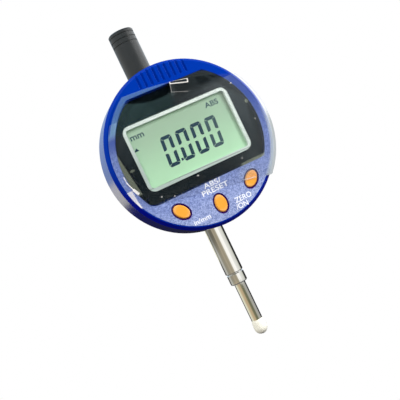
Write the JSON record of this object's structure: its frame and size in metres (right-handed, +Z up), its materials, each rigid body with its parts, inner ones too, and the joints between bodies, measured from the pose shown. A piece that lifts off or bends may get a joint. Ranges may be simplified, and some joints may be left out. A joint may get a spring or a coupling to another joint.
{
  "type": "digital indicator",
  "caption": "Digital plunger gauge: round turning head with LCD window and oval buttons, slim steel stem, sprung spindle with ball tip, tall dust cap.",
  "frame": {"origin": "on the spindle's axis, halfway along the free length of the clamping stem", "axes": "+Z up the spindle towards the dust cap, -Y out of the display's face, +X to the viewer's right"},
  "size_m": [0.0704, 0.0325, 0.1432],
  "materials": {
    "blue_plastic": "gloss",
    "face_metallic": "fine metallic",
    "clear_lens": "clear gloss",
    "black_print": "satin",
    "silver_frame": "satin",
    "lcd": "satin",
    "black_rubber": "matte",
    "board_green": "satin",
    "steel_screw": "satin",
    "socket_white": "satin",
    "switch_metal": "satin",
    "clear_film": "clear gloss",
    "orange_button": "satin",
    "case_black": "satin",
    "cap_black": "matte",
    "polished_steel": "polished",
    "carbide_tip": "polished",
    "bronze": "satin",
    "slider_metal": "satin",
    "scale_glassfibre": "satin",
    "spring_steel": "satin",
    "cell_steel": "satin",
    "cable_grey": "matte"
  },
  "bodies": {
    "case": {"rear_case": "case_black", "stem": "polished_steel", "end_nut": "polished_steel", "wiper_seal": "black_rubber", "lower_bushing": "bronze", "upper_bushing": "bronze", "dust_cap": "cap_black", "bumper": "black_rubber", "guide_rail": "slider_metal", "guide_rail_screws": "steel_screw", "sensor_board": "board_green", "sensor_board_screws": "steel_screw", "sensor_socket": "socket_white", "link_cable": "cable_grey", "friction_ring": "black_rubber", "retaining_ring": "slider_metal", "retaining_ring_screws": "steel_screw", "back_cover": "case_black", "back_cover_screws": "steel_screw", "battery": "cell_steel", "battery_contacts": "spring_steel", "battery_cap": "case_black", "battery_cap_seal": "black_rubber", "return_spring": "spring_steel"},
    "plunger": {"spindle": "polished_steel", "contact_point": "carbide_tip", "slider": "slider_metal", "slider_screws": "steel_screw", "scale_strip": "scale_glassfibre", "guide_pin": "polished_steel"},
    "head": {"head_shell": "blue_plastic", "face_label": "face_metallic", "lens": "clear_lens", "lens_mask": "black_print", "lcd_frame": "silver_frame", "lcd_glass": "lcd", "contact_strips": "black_rubber", "main_board": "board_green", "main_board_screws": "steel_screw", "display_socket": "socket_white", "switches": "switch_metal", "head_back": "case_black", "head_back_screws": "steel_screw", "protective_film": "clear_film", "film_tab": "clear_film"},
    "left_key": {"button_left": "orange_button"},
    "centre_key": {"button_centre": "orange_button"},
    "right_key": {"button_right": "orange_button"}
  },
  "joints": [
    {"name": "plunger_slide", "type": "slide", "parent": "case", "child": "plunger", "axis": [0, 0, 1], "range_m": [0, 0.0127], "stiffness_N_per_m": 45, "springref_m": -0.02, "deforming": ["return_spring"]},
    {"name": "head_turn", "type": "hinge", "parent": "case", "child": "head", "pos_m": [0, 0, 0.0451], "axis": [0, 1, 0], "range_deg": [-135, 135]},
    {"name": "button_left_press", "type": "slide", "parent": "head", "child": "left_key", "axis": [0, 1, 0], "range_m": [0, 0.0005], "stiffness_N_per_m": 300, "springref_m": -0.001},
    {"name": "button_centre_press", "type": "slide", "parent": "head", "child": "centre_key", "axis": [0, 1, 0], "range_m": [0, 0.0005], "stiffness_N_per_m": 300, "springref_m": -0.001},
    {"name": "button_right_press", "type": "slide", "parent": "head", "child": "right_key", "axis": [0, 1, 0], "range_m": [0, 0.0005], "stiffness_N_per_m": 300, "springref_m": -0.001}
  ]
}
